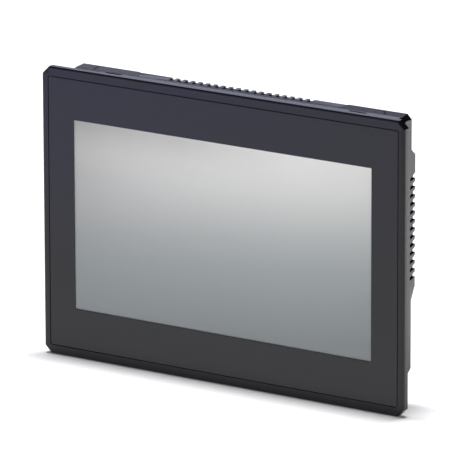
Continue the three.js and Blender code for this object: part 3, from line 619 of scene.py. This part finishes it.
def networkContacts(settings):
    work = bmesh.new()
    path = [(y, socketMouth + rise) for y, rise in settings["path"]]
    outline = thickened(path, settings["halfThickness"])
    for index in range(settings["count"]):
        middle = settings["middle"] + (index - (settings["count"] - 1) / 2) * settings["pitch"]
        extrudeOutline(work, outline, middle - settings["halfWidth"], middle + settings["halfWidth"])
    finishPiece(work, "networkContacts", "nickel_shell", settings["bevel"])


usbSettings = {
    "places": [-0.0235, -0.021, -0.019, -0.0165],
    "halfWidth": 0.0005,
    "depth": [0.0123, 0.01247],
    "reach": [0.0017, 0.0102],
    "leadIn": 0.0003,
    "bevel": 0.00003,
}


def usbContacts(settings):
    work = bmesh.new()
    low, high = settings["depth"]
    start, end = (socketMouth + rise for rise in settings["reach"])
    outline = [(low, start), (high, start + settings["leadIn"]), (high, end), (low, end)]
    for middle in settings["places"]:
        extrudeOutline(work, outline, middle - settings["halfWidth"], middle + settings["halfWidth"])
    finishPiece(work, "usbContacts", "nickel_shell", settings["bevel"])


serialSettings = {
    "middle": 0.011,
    "depth": 0.0152,
    "rows": [(5, 0.00142), (4, -0.00142)],  # number of contacts, and their shift in depth
    "pitch": 0.00277,
    "outer": 0.00054,
    "inner": 0.00034,
    "ends": [-0.0811, -0.0763],
    "steps": 16,
}


def serialContacts(settings):
    work = bmesh.new()
    low, high = settings["ends"]
    inner, outer = settings["inner"], settings["outer"]
    lip = (outer - inner) / 2
    ring = [(inner, high), (inner, low + lip), (inner + lip, low), (outer, low + lip), (outer, high)]
    for count, shift in settings["rows"]:
        for index in range(count):
            x = settings["middle"] + (index - (count - 1) / 2) * settings["pitch"]
            y = settings["depth"] + shift
            corners = [work.verts.new((x + radius, y, z)) for radius, z in ring]
            sides = [work.edges.new(pair) for pair in zip(corners, corners[1:] + corners[:1])]
            bmesh.ops.spin(work, geom=corners + sides, cent=(x, y, 0), axis=(0, 0, 1), angle=2 * math.pi,
                           steps=settings["steps"], use_merge=True)
    finishPiece(work, "serialContacts", "nickel_shell", 0)


networkContacts(networkSettings)
usbContacts(usbSettings)
serialContacts(serialSettings)
print("socket contacts made")

# a pale floor just under the flange, with a faint glow that keeps it near white
floorSettings = {"size": 20, "gap": 0.0002, "color": (0.8, 0.8, 0.8), "roughness": 0.9, "glow": 0.08}


def makeFloor(settings):
    work = bmesh.new()
    bmesh.ops.create_grid(work, x_segments=1, y_segments=1, size=settings["size"])
    bmesh.ops.translate(work, verts=work.verts, vec=(0, 0, cadLow.z - settings["gap"]))
    mesh = bpy.data.meshes.new("floor")
    work.to_mesh(mesh)
    work.free()
    floor = bpy.data.objects.new("floor", mesh)
    scene.collection.objects.link(floor)
    material, shader = newMaterial("floorPaint", settings["color"], settings["roughness"], specular=0.0)
    shader.inputs["Emission Color"].default_value = (1, 1, 1, 1)
    shader.inputs["Emission Strength"].default_value = settings["glow"]
    mesh.materials.append(material)


# the surroundings by height, darkened around the direction of a black flag above and behind the panel
worldSettings = {
    "heights": [(0.0, (1.0, 1.0, 1.0)), (0.2, (0.74, 0.75, 0.85)), (0.34, (0.34, 0.35, 0.42)),
                (0.46, (0.03, 0.03, 0.04)), (0.62, (0.03, 0.033, 0.045)), (0.86, (0.04, 0.043, 0.055)),
                (1.0, (0.32, 0.32, 0.34))],
    "flag": (0.27, 0.81, 0.52),
    "shade": [(0.0, 1.0), (0.4, 1.0), (0.6, 0.08), (0.72, 0.01), (1.0, 0.005)],
}


def makeWorld(settings):
    world = bpy.data.worlds.new("studio")
    scene.world = world
    world.use_nodes = True
    nodes = world.node_tree.nodes
    links = world.node_tree.links
    place = nodes.new("ShaderNodeTexCoord")
    split = nodes.new("ShaderNodeSeparateXYZ")
    links.new(place.outputs["Generated"], split.inputs["Vector"])
    aim = nodes.new("ShaderNodeVectorMath")
    aim.operation = "DOT_PRODUCT"
    aim.inputs[1].default_value = settings["flag"]
    links.new(place.outputs["Generated"], aim.inputs[0])
    heights = rampNode(world, split.outputs["Z"], settings["heights"])
    shade = rampNode(world, aim.outputs["Value"], settings["shade"])
    links.new(multiplied(world, heights, shade, 1.0), nodes["Background"].inputs["Color"])
    nodes["Background"].inputs["Strength"].default_value = 1.0


# softboxes: places, targets and sizes in metres, powers in watts, spreads in degrees;
# one with a spread only lights what is under it and doesn't show in gloss
lightSettings = {
    "topSoftbox": {"place": (-0.12, 0.2, 4), "target": (0, 0, 0), "size": (1.2, 0.42), "power": 240},
    "backSoftbox": {"place": (-0.4, 0.92, 0.4), "target": (0, 0, 0.09), "size": (0.85, 0.26), "power": 0.98,
                    "color": (0.74, 0.77, 1)},
    "floorSoftbox": {"place": (0.56, 0.46, 0.5), "target": (0.56, 0.46, 0), "size": (0.72, 0.76),
                     "power": 1.95, "spread": 32},
    "coolSoftbox": {"place": (-0.5, -0.62, 0.6), "target": (-0.5, -0.62, 0), "size": (0.3, 0.3),
                    "power": 1.05, "color": (0.12, 0.14, 1), "spread": 60},
}


def areaLight(name, settings):
    place, target = Vector(settings["place"]), Vector(settings["target"])
    data = bpy.data.lights.new(name, "AREA")
    data.shape = "RECTANGLE"
    data.size, data.size_y = settings["size"]
    data.energy = settings["power"]
    data.color = settings.get("color", (1, 1, 1))
    light = bpy.data.objects.new(name, data)
    scene.collection.objects.link(light)
    light.location = place
    light.rotation_mode = "QUATERNION"
    light.rotation_quaternion = (place - target).to_track_quat("Z", "Y")
    light.visible_camera = False
    if "spread" in settings:
        data.spread = math.radians(settings["spread"])
        light.visible_glossy = False


makeFloor(floorSettings)
makeWorld(worldSettings)
for lightName, settings in lightSettings.items():
    areaLight(lightName, settings)
print("floor and light made")
